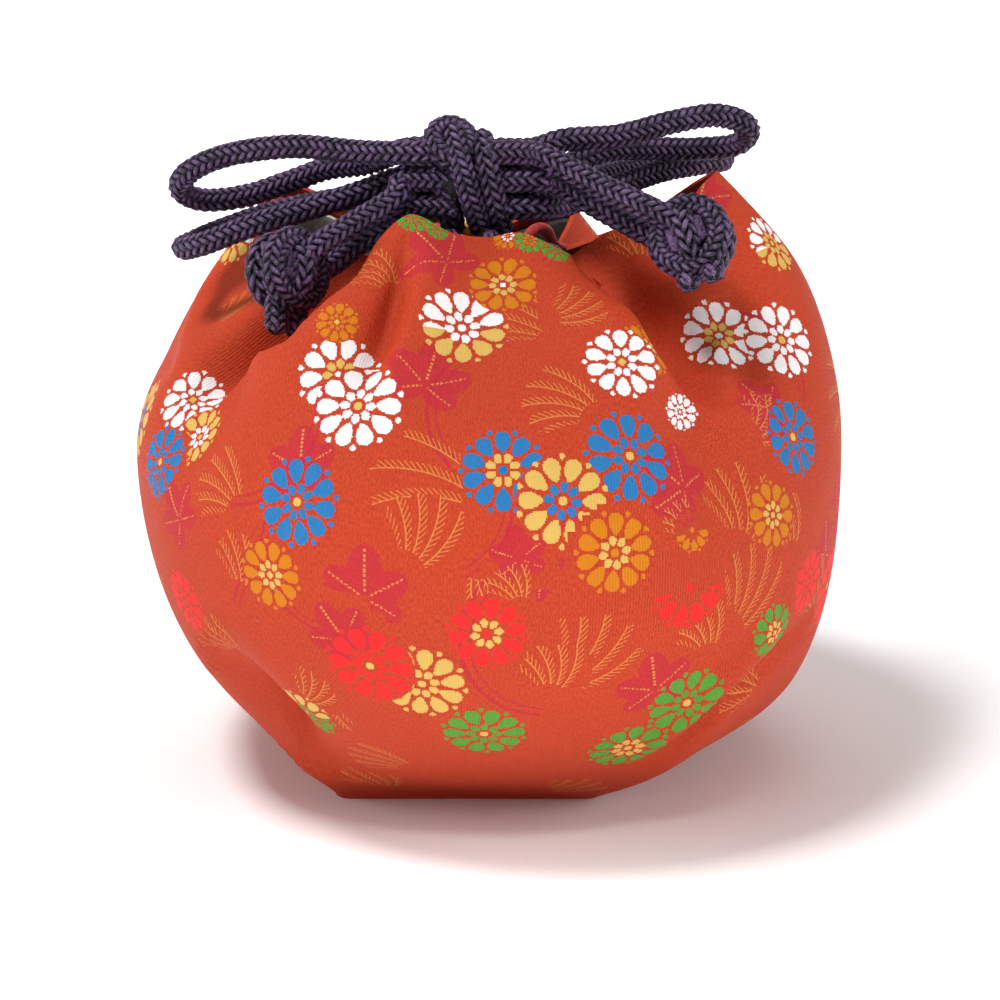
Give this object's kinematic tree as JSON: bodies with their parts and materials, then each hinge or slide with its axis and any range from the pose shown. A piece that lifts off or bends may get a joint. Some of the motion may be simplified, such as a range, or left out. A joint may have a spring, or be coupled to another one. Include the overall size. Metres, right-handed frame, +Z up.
{
  "type": "kinchaku drawstring pouch",
  "caption": "Round-bellied drawstring pouch of lined brocade on a square base, its mouth gathered into lobes by two braided cords tied in a bow.",
  "frame": {"origin": "on the base, straight below the middle of the mouth, on the surface that the pouch stands on", "axes": "+Z up, -Y towards the front of the pouch, where the bow is tied, +X to the right seen from the front"},
  "size_m": [0.138, 0.138, 0.1313],
  "materials": {
    "brocade": "woven silk brocade, soft sheen",
    "lining": "plain matte cotton",
    "loop_cloth": "matte twisted cloth",
    "braid": "matte round braid"
  },
  "bodies": {
    "root": {"outer_bag": "brocade", "lining_bag": "lining", "cord_loop_1": "loop_cloth", "cord_loop_2": "loop_cloth", "cord_loop_3": "loop_cloth", "cord_loop_4": "loop_cloth", "cord_loop_5": "loop_cloth", "drawstring_upper": "braid", "drawstring_lower": "braid", "bow_knot": "braid", "bow_loop_left_upper": "braid", "bow_loop_left_lower": "braid", "bow_loop_right_upper": "braid", "bow_loop_right_lower": "braid", "tail_left_front": "braid", "tail_left_back": "braid", "tail_right_front": "braid", "tail_right_back": "braid", "end_knot_left": "braid", "end_knot_right": "braid"}
  },
  "joints": []
}
